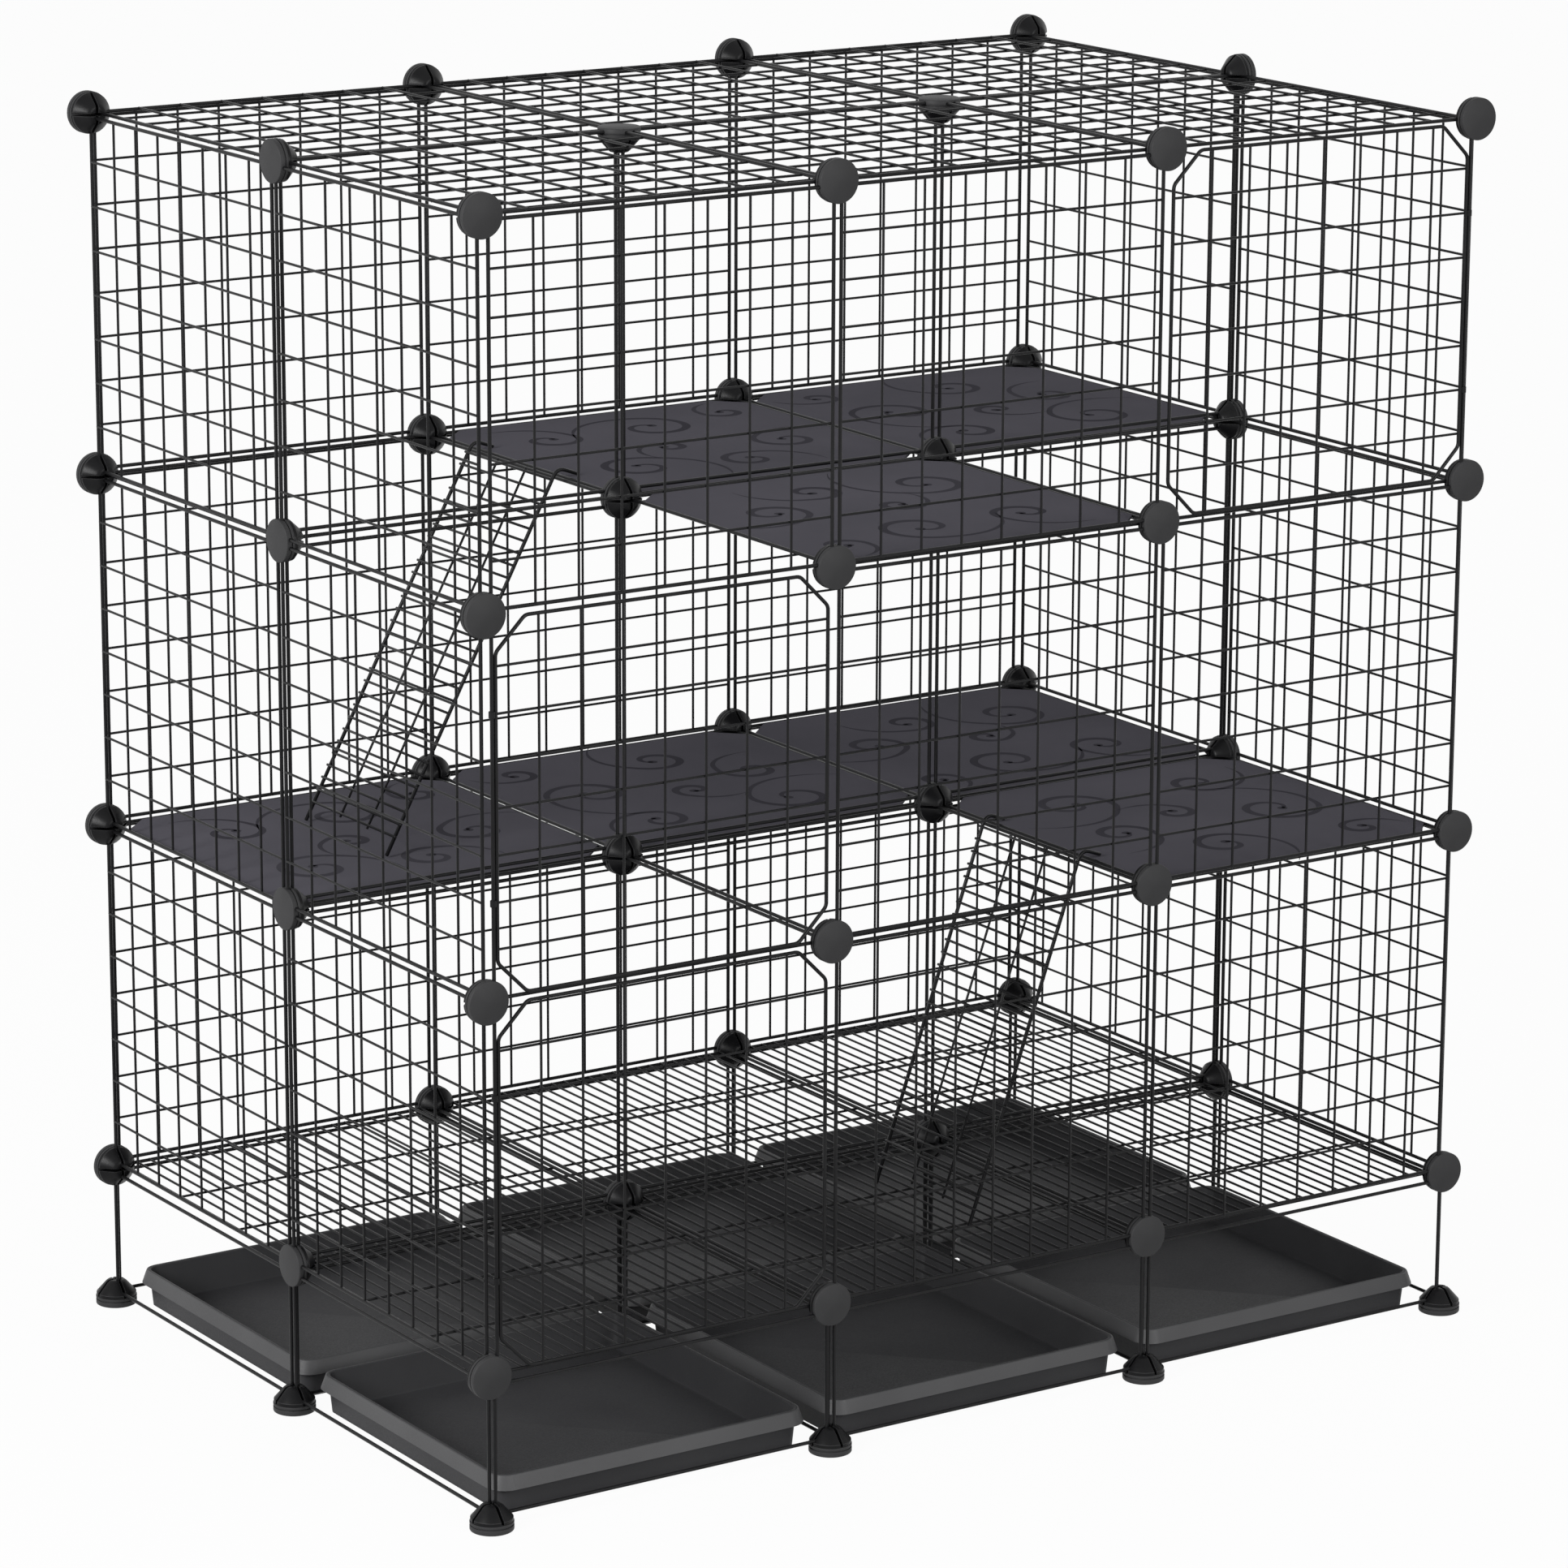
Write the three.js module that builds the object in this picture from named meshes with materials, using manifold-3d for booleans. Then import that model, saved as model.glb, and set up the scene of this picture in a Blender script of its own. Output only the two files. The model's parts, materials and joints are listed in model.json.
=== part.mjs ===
// A modular ferret cage: wire panels clipped together by round corner connectors.
// It is three columns wide, two rows deep and three tiers high, and stands on short legs.
// Millimetres, +Z up, the front towards -Y, the origin on the ground under the middle.
import * as THREE from "three";
import { mergeVertices } from "three/addons/utils/BufferGeometryUtils.js";
import Module from "manifold-3d";

const wasm = await Module();
wasm.setup();

// ---------------------------------------------------------------- driving dimensions
const CLEAR = 0.3; // between parts that touch on the real cage
const COLUMNS = 3;
const ROWS = 2;
const TIERS = 3;
const PANEL_WIDE = 350; // between the centres of a panel's edge wires
const PANEL_TALL = 336;
const SEAM = 8; // between the edge wires of two neighbouring panels
const WALL_OUT = 2.75; // how far an outer wall stands out from the line of its posts' panels
const FRAME_WIRE = 3.5;
const GRID_WIRE = 2.2;
const GRID_GAPS = 8;
const FLOOR_GAPS = 24; // the floor's wires lie closer, for small feet
const FLOOR_RIB_GAPS = 3;
const LAYER_GAP = 0.3; // between a grid's two layers of wires
const WELD = 1.2;
const BITE = 4; // how far a frame wire runs into a connector or foot that holds it
const GRID_BITE = 1;

const LEG_HIGH = 142; // ground to the middle of the floor's connectors
const GROUND_WIRE_HIGH = 12.5;
const OPEN_FRAME_INSET = 7.6; // an open frame's edge, from the line of connectors
const SEAM_BITE = 0.2; // how far a wire pressed into a seam joins the wires beside it

// One moulding serves as a connector and as a foot: a round cap with a dome behind it.
const CLIP_WIDE = 40;
const CLIP_SHOULDER = 11.7; // from the cap's face to where the dome starts to narrow
const CLIP_HIGH = 24; // from the cap's face to the dome's tip
const CLIP_TIP_WIDE = 19;
const CAP_OUT = 3.5; // a connector's cap face, from the plane of the wires
const FACETS = 8;

const LEAF_CHAMFER = 30;
const CURL_WALL = 0.75;
const CURL_HIGH = 6;
const CURL_SPACING = 168;

const SHEET_THICK = 3;
const SHEET_CHAMFER = 28;

const RAIL_WIRE = 3.7;
const RAMP_WIDE = 156; // between the centres of the outer rails
const RUNG_PITCH = 12.7;
const RAMP_LANES = 3; // gaps across a ramp between its lengthwise wires
const HOOK_RISE = 12; // the rails' bend, above the shelf's wires
const HOOK_OUT = 7; // the bend, before the line between two columns
const HOOK_REACH = 15; // the tip, past that line
const HIGH_RAMP_RUN = 198; // foot of each ramp, before that line
const LOW_RAMP_RUN = 132;

const TRAY_SPACING = 22; // between the rims of two neighbouring trays
const TRAY_HIGH = 38;
const TRAY_WALL = 2.3;
const TRAY_LIP = 7; // how far the rim turns out
const TRAY_SKIRT = 13; // how far its edge turns down
const TRAY_DRAFT = 3.5; // how far a wall leans out on its way up
const TRAY_CORNER = 14;

// ---------------------------------------------------------------- derived dimensions
const PITCH = PANEL_WIDE + SEAM;
const TIER_PITCH = PANEL_TALL + SEAM;
const EDGE = SEAM / 2;
const ROD_RADIUS = FRAME_WIRE / 2;
const LEAF_INSET = EDGE + FRAME_WIRE + CLEAR; // the leaf stands beside its hinge rod
const SEAM_WIRE = SEAM - FRAME_WIRE + 2 * SEAM_BITE;

const [X, Y, Z] = [[1, 0, 0], [0, 1, 0], [0, 0, 1]].map((v) => new THREE.Vector3(...v));
const AXES = [X, Y, Z];
const [ACROSS, DEEP, UP] = [0, 1, 2];
const LEVELS = ["floor", "lower", "upper", "roof"];
const TIER_NAMES = ["bottom", "middle", "top"];
const POST_ROWS = ["front", "centre", "back"];
const LAST_POST = COLUMNS;

const wireBlack = { color: 0x161617, roughness: 0.42, metalness: 0.55 };
const clipBlack = { color: 0x262628, roughness: 0.5, metalness: 0.05 };
const sheetGrey = { color: 0x4c4b52, roughness: 0.62, metalness: 0 };
const trayBlack = { color: 0x39393b, roughness: 0.4, metalness: 0 };

const cage = new THREE.Group();
cage.name = "ferret_cage";

// ---------------------------------------------------------------- solids
function solid(geometry) {
  geometry.deleteAttribute("normal");
  geometry.deleteAttribute("uv");
  const merged = mergeVertices(geometry, 1e-4);
  return new wasm.Manifold(
    new wasm.Mesh({
      numProp: 3,
      vertProperties: new Float32Array(merged.attributes.position.array),
      triVerts: new Uint32Array(merged.index.array),
    }),
  );
}

function addPart(name, look, solids) {
  const whole = solids.reduce((joined, next) => joined.add(next));
  const mesh = whole.getMesh();
  const geometry = new THREE.BufferGeometry();
  geometry.setAttribute("position", new THREE.BufferAttribute(mesh.vertProperties, 3));
  geometry.setIndex(new THREE.BufferAttribute(mesh.triVerts, 1));
  geometry.computeVertexNormals();
  const part = new THREE.Mesh(geometry, new THREE.MeshStandardMaterial(look));
  part.name = name;
  cage.add(part);
}

const moved = (point, axis, distance) => point.clone().addScaledVector(axis, distance);

// A flat outline pushed from a to b, with its second axis along normal.
function prism(outline, a, b, normal) {
  const along = b.clone().sub(a).normalize();
  const geometry = new THREE.ExtrudeGeometry(outline, {
    depth: a.distanceTo(b),
    bevelEnabled: false,
  });
  const side = normal.clone().cross(along);
  return solid(geometry.applyMatrix4(new THREE.Matrix4().makeBasis(side, normal, along).setPosition(a)));
}

function polygon(radius, sides) {
  const points = Array.from({ length: sides }, (_, n) => {
    const turn = ((n + 0.5) * 2 * Math.PI) / sides;
    return new THREE.Vector2(Math.cos(turn), Math.sin(turn)).multiplyScalar(radius);
  });
  return new THREE.Shape(points);
}

const acrossFlats = (width, sides) => width / 2 / Math.cos(Math.PI / sides);

// A square wire from a to b.
function bar(a, b, wide) {
  const along = b.clone().sub(a);
  const normal = Math.abs(along.z) > Math.abs(along.x) + Math.abs(along.y) ? Y : Z;
  return prism(polygon(acrossFlats(wide, 4), 4), a, b, normal);
}

// A three-sided wire from a to b, on the side of the plane that normal points to.
function layerWire(a, b, normal) {
  const base = LAYER_GAP / 2;
  const outline = new THREE.Shape([
    new THREE.Vector2(-GRID_WIRE / 2, base),
    new THREE.Vector2(GRID_WIRE / 2, base),
    new THREE.Vector2(0, FRAME_WIRE / 2 - base),
  ]);
  return prism(outline, a, b, normal);
}

function chamferedOutline(wide, tall, cut) {
  const [w, t] = [wide / 2, tall / 2];
  const corners = [
    [w, cut - t], [w, t - cut], [w - cut, t], [cut - w, t],
    [-w, t - cut], [-w, cut - t], [cut - w, -t], [w - cut, -t],
  ];
  return new THREE.Shape(corners.map((corner) => new THREE.Vector2(...corner)));
}

// An outline laid in the plane of right and rise, as thick as it says, round its centre.
function plate(outline, centre, right, rise, thick) {
  const out = right.clone().cross(rise);
  return prism(outline, moved(centre, out, -thick / 2), moved(centre, out, thick / 2), rise);
}

// A turned shape with flat facets: its profile lists [radius to a flat, distance along the axis].
function turned(profile, centre, axis) {
  const points = profile.map(([r, n]) => new THREE.Vector2(acrossFlats(2 * r, FACETS), n));
  const geometry = new THREE.LatheGeometry(points, FACETS, Math.PI / FACETS);
  const turn = new THREE.Quaternion().setFromUnitVectors(Y, axis);
  return solid(geometry.applyQuaternion(turn).translate(...centre.toArray()));
}

// ---------------------------------------------------------------- the lattice of connectors
// A connector is named by its post's column and row and its level.
const next = (post, axis) => post.map((value, n) => (n === axis ? value + 1 : value));

// Where the line between two neighbouring panels lies, on each axis.
function seam(value, axis) {
  if (axis === UP) return LEG_HIGH + value * TIER_PITCH;
  return (value - (axis === ACROSS ? COLUMNS : ROWS) / 2) * PITCH;
}

// How far a post stands out from that line, where it is part of an outer wall.
function outward(value, axis) {
  if (axis === UP) return 0;
  if (value === 0) return -WALL_OUT;
  return value === (axis === ACROSS ? COLUMNS : ROWS) ? WALL_OUT : 0;
}

function place(post) {
  return new THREE.Vector3(...post.map((value, axis) => seam(value, axis) + outward(value, axis)));
}

// From a post to the edge wire of the panel on one side of it, 1 or -1, along an axis.
const edgeAt = (post, axis, side) => side * EDGE - outward(post[axis], axis);

// The middle of the bay at a column and a row, at a height.
function bayMiddle(column, row, height) {
  return new THREE.Vector3(seam(column + 0.5, ACROSS), seam(row + 0.5, DEEP), height);
}

// Where a connector's cap faces: outwards, and up at the roof's inner crossings.
function facing([i, j, level]) {
  if (j === 0) return Y.clone().negate();
  if (j === ROWS) return Y;
  if (i === 0) return X.clone().negate();
  if (i === LAST_POST) return X;
  return level === TIERS ? Z : Y;
}

// The moulding, from the middle of its cap's face towards its dome.
function clip(capMiddle, towardsDome) {
  const profile = [
    [0, 0],
    [CLIP_WIDE / 2, 0],
    [CLIP_WIDE / 2, CLIP_SHOULDER],
    [CLIP_TIP_WIDE / 2, CLIP_HIGH],
    [0, CLIP_HIGH],
  ];
  return turned(profile, capMiddle, towardsDome);
}

function connector(post) {
  const out = facing(post);
  return clip(moved(place(post), out, CAP_OUT), out.clone().negate());
}

// How far a connector's surface is from its middle, in one direction.
function reach(post, direction) {
  const towardsCap = facing(post).dot(direction);
  if (towardsCap > 0.5) return CAP_OUT;
  return towardsCap < -0.5 ? CLIP_HIGH - CAP_OUT : CLIP_WIDE / 2;
}

const holds = (held, post) => held.some((own) => own.join() === post.join());

// A frame wire between two neighbouring connectors, beside the line of their middles.
// It runs into a connector that its part holds, and stops short of any other.
function edgeWire(held, from, to, offsets, wide = FRAME_WIRE) {
  const [a, b] = [place(from), place(to)];
  const along = b.clone().sub(a).normalize();
  const back = along.clone().negate();
  const inset = (post) => (holds(held, post) ? -BITE : CLEAR);
  a.addScaledVector(along, reach(from, along) + inset(from));
  b.addScaledVector(back, reach(to, back) + inset(to));
  for (const [axis, distance] of offsets) {
    a.addScaledVector(axis, distance);
    b.addScaledVector(axis, distance);
  }
  return bar(a, b, wide);
}

// ---------------------------------------------------------------- wire panels
// A grid in two layers, wired into a frame whose inner size starts at corner. The wires
// that run up the panel stop short of its frame by what insets says for each of them.
function grid({ corner, right, rise, wide, tall, gapsAcross, gapsUp, insets = () => [0, 0] }) {
  const out = right.clone().cross(rise);
  const under = out.clone().negate();
  const bite = FRAME_WIRE / 2 - GRID_BITE;
  const wires = [];
  for (let n = 1; n < gapsAcross; n++) {
    const foot = moved(corner, right, (wide * n) / gapsAcross);
    const [low, high] = insets(n);
    wires.push(layerWire(moved(foot, rise, bite + low), moved(foot, rise, tall - bite - high), out));
  }
  for (let n = 1; n < gapsUp; n++) {
    const foot = moved(corner, rise, (tall * n) / gapsUp);
    wires.push(layerWire(moved(foot, right, bite), moved(foot, right, wide - bite), under));
  }
  return wires;
}

// A spot weld that joins a grid's two layers where wire n across meets wire m up.
function weld({ corner, right, rise, wide, tall, gapsAcross, gapsUp }, n, m) {
  const crossing = moved(moved(corner, right, (wide * n) / gapsAcross), rise, (tall * m) / gapsUp);
  return bar(moved(crossing, right, -WELD / 2), moved(crossing, right, WELD / 2), WELD);
}

function frameEdges(held, post, across, up) {
  const [right, rise] = [AXES[across], AXES[up]];
  const [far, high] = [next(post, across), next(post, up)];
  return [
    edgeWire(held, post, far, [[rise, edgeAt(post, up, 1)]]),
    edgeWire(held, high, next(far, up), [[rise, edgeAt(high, up, -1)]]),
    edgeWire(held, post, high, [[right, edgeAt(post, across, 1)]]),
    edgeWire(held, far, next(far, up), [[right, edgeAt(far, across, -1)]]),
  ];
}

// How much sooner a grid wire that runs up ends, where a connector covers the frame's corner.
function cornerInsets(post, across, up, wireAt) {
  const far = next(post, across);
  const toWire = (from) => Math.abs(place(from).getComponent(across) - wireAt);
  const low = toWire(post) < toWire(far) ? post : far;
  if (toWire(low) > (CLIP_WIDE + GRID_WIRE) / 2 + CLEAR) return [0, 0];
  const bite = FRAME_WIRE / 2 - GRID_BITE;
  return [[low, 1], [next(low, up), -1]].map(([end, side]) => {
    const surface = reach(end, AXES[up].clone().multiplyScalar(side)) + CLEAR;
    return Math.max(0, surface - side * edgeAt(end, up, side) - bite);
  });
}

// A wire panel between four connectors, from its lowest post: a frame and its grid.
function panel(held, post, across, up, gapsAcross = GRID_GAPS, gapsUp = GRID_GAPS) {
  const [right, rise] = [AXES[across], AXES[up]];
  const corner = moved(moved(place(post), right, edgeAt(post, across, 1)), rise, edgeAt(post, up, 1));
  const [wide, tall] = [PANEL_WIDE, up === UP ? PANEL_TALL : PANEL_WIDE];
  const wireAt = (n) => corner.getComponent(across) + (wide * n) / gapsAcross;
  const insets = (n) => cornerInsets(post, across, up, wireAt(n));
  const lattice = { corner, right, rise, wide, tall, gapsAcross, gapsUp, insets };
  const pieces = [...frameEdges(held, post, across, up), ...grid(lattice)];
  let joined = held.length > 0;
  for (let n = 1; n < gapsAcross; n++) {
    const loose = insets(n).some((inset) => inset > 0);
    const most = loose ? gapsUp - 1 : joined ? 0 : 1;
    for (let m = 1; m <= most; m++) pieces.push(weld(lattice, n, m));
    joined ||= !loose;
  }
  return pieces;
}

const connectors = (held) => held.map(connector);

// ---------------------------------------------------------------- doors
const DOORS = [
  { tier: 0, column: 0, hingePost: 0 },
  { tier: 1, column: 0, hingePost: 0 },
  { tier: 2, column: COLUMNS - 1, hingePost: LAST_POST },
];
const isDoor = (tier, column) => DOORS.some((door) => door.tier === tier && door.column === column);
const hingeSide = (door) => (door.hingePost === door.column ? 1 : -1);

function hingeLine(door, level) {
  const post = [door.hingePost, 0, level];
  return moved(place(post), X, edgeAt(post, ACROSS, hingeSide(door)));
}

// The upright rod that a door turns on, held by the connector over it.
function hingeRod(door) {
  const foot = moved(hingeLine(door, door.tier), Z, CLIP_WIDE / 2 + CLEAR);
  const top = moved(hingeLine(door, door.tier + 1), Z, BITE - CLIP_WIDE / 2);
  return prism(polygon(ROD_RADIUS, FACETS), foot, top, Y);
}

// A leaf's edge curled round its rod.
function hingeCurl(axis, middle) {
  const inner = acrossFlats(2 * (ROD_RADIUS + CLEAR), FACETS);
  const outline = polygon(inner + CURL_WALL * Math.cos(Math.PI / FACETS), FACETS);
  outline.holes.push(polygon(inner, FACETS));
  const centre = new THREE.Vector3(axis.x, axis.y, middle);
  return prism(outline, moved(centre, Z, -CURL_HIGH / 2), moved(centre, Z, CURL_HIGH / 2), Y);
}

function doorLeaf(door) {
  const wide = PITCH - 2 * LEAF_INSET;
  const corner = place([door.column, 0, door.tier]).setX(seam(door.column, ACROSS) + LEAF_INSET);
  corner.z += EDGE;
  const centre = corner.clone().add(new THREE.Vector3(wide / 2, 0, PANEL_TALL / 2));
  const half = FRAME_WIRE / 2;
  const cutShift = half * (2 - Math.SQRT2);
  const outline = chamferedOutline(wide + FRAME_WIRE, PANEL_TALL + FRAME_WIRE, LEAF_CHAMFER + cutShift);
  outline.holes.push(chamferedOutline(wide - FRAME_WIRE, PANEL_TALL - FRAME_WIRE, LEAF_CHAMFER - cutShift));
  const gaps = { gapsAcross: GRID_GAPS, gapsUp: GRID_GAPS };
  const lattice = { corner, right: X, rise: Z, wide, tall: PANEL_TALL, ...gaps };
  const curls = [-1, 1].map((side) => hingeCurl(hingeLine(door, 0), centre.z + (side * CURL_SPACING) / 2));
  return [plate(outline, centre, X, Z, FRAME_WIRE), ...grid(lattice), weld(lattice, 1, 1), ...curls];
}

// ---------------------------------------------------------------- open frames that lie level
// Each is named by its column, row and level; its near and side wires hang on the centre
// rail, and its far wire on the connector that heldBy names.
const LEVEL_FRAMES = [
  { column: 0, row: 0, level: 1 },
  { column: 1, row: 0, level: 1 },
  { column: 2, row: 0, level: 2 },
  { column: 0, row: 1, level: 2 },
];

function frameByRail(held, { column, row, level }) {
  const towards = row === 0 ? -1 : 1;
  const [left, right] = [[column, 1, level], [column + 1, 1, level]];
  const outer = (post) => [post[0], 1 + towards, level];
  return [
    edgeWire(held, left, right, [[Y, edgeAt(left, DEEP, towards)]]),
    edgeWire(held, left, outer(left), [[X, edgeAt(left, ACROSS, 1)]]),
    edgeWire(held, right, outer(right), [[X, edgeAt(right, ACROSS, -1)]]),
  ];
}

function frameFarWire(held, { column, row, level }) {
  const [j, side] = row === 0 ? [0, 1] : [ROWS, -1];
  const post = [column, j, level];
  return edgeWire(held, post, next(post, ACROSS), [[Y, edgeAt(post, DEEP, side)]]);
}

// ---------------------------------------------------------------- legs
function footRadius(height) {
  const share = Math.max(0, height - CLIP_SHOULDER) / (CLIP_HIGH - CLIP_SHOULDER);
  return (CLIP_WIDE + (CLIP_TIP_WIDE - CLIP_WIDE) * share) / 2;
}

const foot = (post) => clip(place(post).setZ(0), Z);

// A ground wire from one foot to the next.
function groundWire(post, axis) {
  const [a, b] = [place(post), place(next(post, axis))];
  a.addScaledVector(AXES[axis], footRadius(GROUND_WIRE_HIGH) - BITE);
  b.addScaledVector(AXES[axis], -footRadius(GROUND_WIRE_HIGH - FRAME_WIRE / 2) - CLEAR);
  return bar(a.setZ(GROUND_WIRE_HIGH), b.setZ(GROUND_WIRE_HIGH), FRAME_WIRE);
}

function legUpright(post, axis, distance) {
  const line = moved(place(post), AXES[axis], distance);
  const top = moved(line, Z, BITE - CLIP_WIDE / 2);
  return bar(line.clone().setZ(CLIP_HIGH - BITE), top, FRAME_WIRE);
}

// A foot, its uprights and its connector, with the open leg frames' wires to the next two legs.
function leg(i, j) {
  const post = [i, j, 0];
  const held = [post];
  const pieces = [foot(post), connector(post)];
  const last = [LAST_POST, ROWS];
  for (const axis of [ACROSS, DEEP]) {
    if (post[axis] > 0) pieces.push(legUpright(post, axis, -EDGE));
    if (post[axis] === last[axis]) continue;
    pieces.push(legUpright(post, axis, EDGE), groundWire(post, axis));
    pieces.push(edgeWire(held, post, next(post, axis), [[Z, -OPEN_FRAME_INSET]]));
  }
  if (j === 1 && i < LAST_POST) {
    pieces.push(edgeWire(held, post, next(post, ACROSS), [[Z, OPEN_FRAME_INSET]]));
  }
  return pieces;
}

// ---------------------------------------------------------------- open frames of the centre
// The wires of the open frames between the front and back rows, round one level's connectors.
// The uppermost also holds the roof's connectors.
function centreRail(level) {
  const posts = Array.from({ length: COLUMNS + 1 }, (_, i) => [i, 1, level]);
  const isTop = level === TIERS - 1;
  const held = isTop ? [...posts, ...posts.map((post) => next(post, UP))] : posts;
  const pieces = connectors(held);
  for (const post of posts) {
    const sides = [-1, 1].filter((side) => (side < 0 ? post[0] > 0 : post[0] < LAST_POST));
    const spans = [[[...post.slice(0, 2), level - 1], post]];
    if (isTop) spans.push([post, next(post, UP)]);
    for (const [low, high] of spans) {
      sides.forEach((side) => pieces.push(edgeWire(held, low, high, [[X, edgeAt(post, ACROSS, side)]])));
    }
  }
  for (const post of posts.slice(0, -1)) {
    for (const side of [-OPEN_FRAME_INSET, OPEN_FRAME_INSET]) {
      pieces.push(edgeWire(held, post, next(post, ACROSS), [[Z, side]]));
    }
  }
  LEVEL_FRAMES.filter((frame) => frame.level === level).forEach((frame) =>
    pieces.push(...frameByRail(held, frame)),
  );
  return pieces;
}

// ---------------------------------------------------------------- shelves
const SHELVES = [
  { level: 1, row: 1, column: 0 },
  { level: 1, row: 1, column: 1 },
  { level: 1, row: 1, column: 2 },
  { level: 1, row: 0, column: 2 },
  { level: 2, row: 1, column: 1 },
  { level: 2, row: 1, column: 2 },
  { level: 2, row: 0, column: 1 },
];

function shelf({ level, row, column }) {
  const post = [column, row, level];
  const centre = bayMiddle(column, row, place(post).z);
  const wide = PANEL_WIDE - FRAME_WIRE + 2 * GRID_BITE;
  const sheet = plate(chamferedOutline(wide, wide, SHEET_CHAMFER), centre, X, Y, SHEET_THICK);
  return [sheet, ...frameEdges([], post, ACROSS, DEEP)];
}

// ---------------------------------------------------------------- ramps
// A ladder of wire whose rails hook over the line between two columns, at a level.
// Its foot stands on the level below.
const RAMPS = [
  { name: "ramp_upper", post: 1, row: 1, level: 2, run: HIGH_RAMP_RUN, landing: SHEET_THICK },
  { name: "ramp_lower", post: 2, row: 0, level: 1, run: LOW_RAMP_RUN, landing: FRAME_WIRE },
];

// The rails' middle line seen from the front: the hook's tip, the bend and the foot.
function rampLine({ post, row, level, run, landing }) {
  const top = place([post, row, level]);
  const half = RAIL_WIRE / 2;
  const slopeBack = HOOK_REACH + HOOK_OUT;
  const tipRise = SHEET_THICK / 2 + CLEAR + half;
  const [bend, tip, foot] = [top, top, top].map((point) => new THREE.Vector2(point.x, point.z));
  bend.add(new THREE.Vector2(-HOOK_OUT, HOOK_RISE));
  tip.add(new THREE.Vector2(HOOK_REACH, tipRise + half * ((HOOK_RISE - tipRise) / slopeBack) ** 2));
  foot.add(new THREE.Vector2(-run, landing / 2 + CLEAR - TIER_PITCH));
  const lean = foot.clone().sub(bend).normalize();
  foot.addScaledVector(lean, (-half * Math.abs(lean.x)) / Math.abs(lean.y));
  return { tip, bend, foot, lean };
}

function railOutline({ tip, bend, foot }) {
  const half = RAIL_WIRE / 2;
  const side = (a, b) => {
    const along = b.clone().sub(a).normalize();
    return new THREE.Vector2(-along.y, along.x);
  };
  const [first, second] = [side(tip, bend), side(bend, foot)];
  const mitre = first.clone().add(second);
  mitre.multiplyScalar(2 / mitre.lengthSq());
  const line = [[tip, first], [bend, mitre], [foot, second]];
  const offset = (sign) => line.map(([point, out]) => point.clone().addScaledVector(out, sign * half));
  return new THREE.Shape([...offset(1), ...offset(-1).reverse()]);
}

function ramp(spec) {
  const line = rampLine(spec);
  const outline = railOutline(line);
  const middle = bayMiddle(spec.post, spec.row, 0).y;
  const at = (distance, y) => {
    const point = line.bend.clone().addScaledVector(line.lean, distance);
    return new THREE.Vector3(point.x, y, point.y);
  };
  const out = new THREE.Vector3(line.lean.y, 0, -line.lean.x);
  const pieces = [-1, 1].map((side) => {
    const y = middle + (side * RAMP_WIDE) / 2 + RAIL_WIRE / 2;
    return prism(outline, new THREE.Vector3(0, y, 0), new THREE.Vector3(0, y - RAIL_WIRE, 0), Z);
  });
  const inner = RAMP_WIDE / 2 - RAIL_WIRE / 2 + GRID_BITE;
  const rungs = Math.floor(line.bend.distanceTo(line.foot) / RUNG_PITCH) - 1;
  const crossBar = (distance) => {
    const [a, b] = [at(distance, middle - inner), at(distance, middle + inner)];
    return prism(polygon(acrossFlats(FRAME_WIRE, 4), 4), a, b, out);
  };
  const last = rungs * RUNG_PITCH;
  pieces.push(crossBar(RUNG_PITCH), crossBar(last));
  for (let n = 2; n < rungs; n++) {
    const distance = n * RUNG_PITCH;
    pieces.push(layerWire(at(distance, middle - inner), at(distance, middle + inner), out));
  }
  for (let n = 1; n < RAMP_LANES; n++) {
    const y = middle + RAMP_WIDE * (n / RAMP_LANES - 0.5);
    pieces.push(layerWire(at(RUNG_PITCH, y), at(last, y), out.clone().negate()));
  }
  return pieces;
}

// ---------------------------------------------------------------- trays
function roundedRing(half, corner, height) {
  const steps = 2;
  const points = [];
  for (let quarter = 0; quarter < 4; quarter++) {
    const [sx, sy] = [[1, 1], [-1, 1], [-1, -1], [1, -1]][quarter];
    for (let n = 0; n <= steps; n++) {
      const turn = ((quarter + n / steps) * Math.PI) / 2;
      points.push([
        sx * (half - corner) + corner * Math.cos(turn),
        sy * (half - corner) + corner * Math.sin(turn),
        height,
      ]);
    }
  }
  return points;
}

// A skin through rings of equally many points, closed flat at both ends.
function lofted(rings) {
  const count = rings[0].length;
  const faces = [];
  for (let r = 0; r + 1 < rings.length; r++) {
    for (let n = 0; n < count; n++) {
      const [a, b] = [r * count + n, r * count + ((n + 1) % count)];
      faces.push(a, b, b + count, a, b + count, a + count);
    }
  }
  const top = (rings.length - 1) * count;
  for (let n = 1; n + 1 < count; n++) {
    faces.push(0, n + 1, n, top, top + n, top + n + 1);
  }
  const geometry = new THREE.BufferGeometry();
  geometry.setAttribute("position", new THREE.Float32BufferAttribute(rings.flat(2), 3));
  return geometry.setIndex(faces);
}

function tray(column, row) {
  const rim = (PITCH - TRAY_SPACING) / 2;
  const wallTop = rim - TRAY_LIP;
  const base = wallTop - TRAY_DRAFT;
  const under = TRAY_HIGH - TRAY_WALL;
  const sections = [
    [base, 0],
    [wallTop, under],
    [rim - TRAY_WALL, under],
    [rim - TRAY_WALL, TRAY_HIGH - TRAY_SKIRT],
    [rim, TRAY_HIGH - TRAY_SKIRT],
    [rim, TRAY_HIGH],
    [wallTop - TRAY_WALL, TRAY_HIGH],
    [base - TRAY_WALL, TRAY_WALL],
  ];
  const inset = rim - TRAY_CORNER;
  const rings = sections.map(([half, height]) => roundedRing(half, half - inset, height));
  return [solid(lofted(rings).translate(...bayMiddle(column, row, 0).toArray()))];
}

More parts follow.
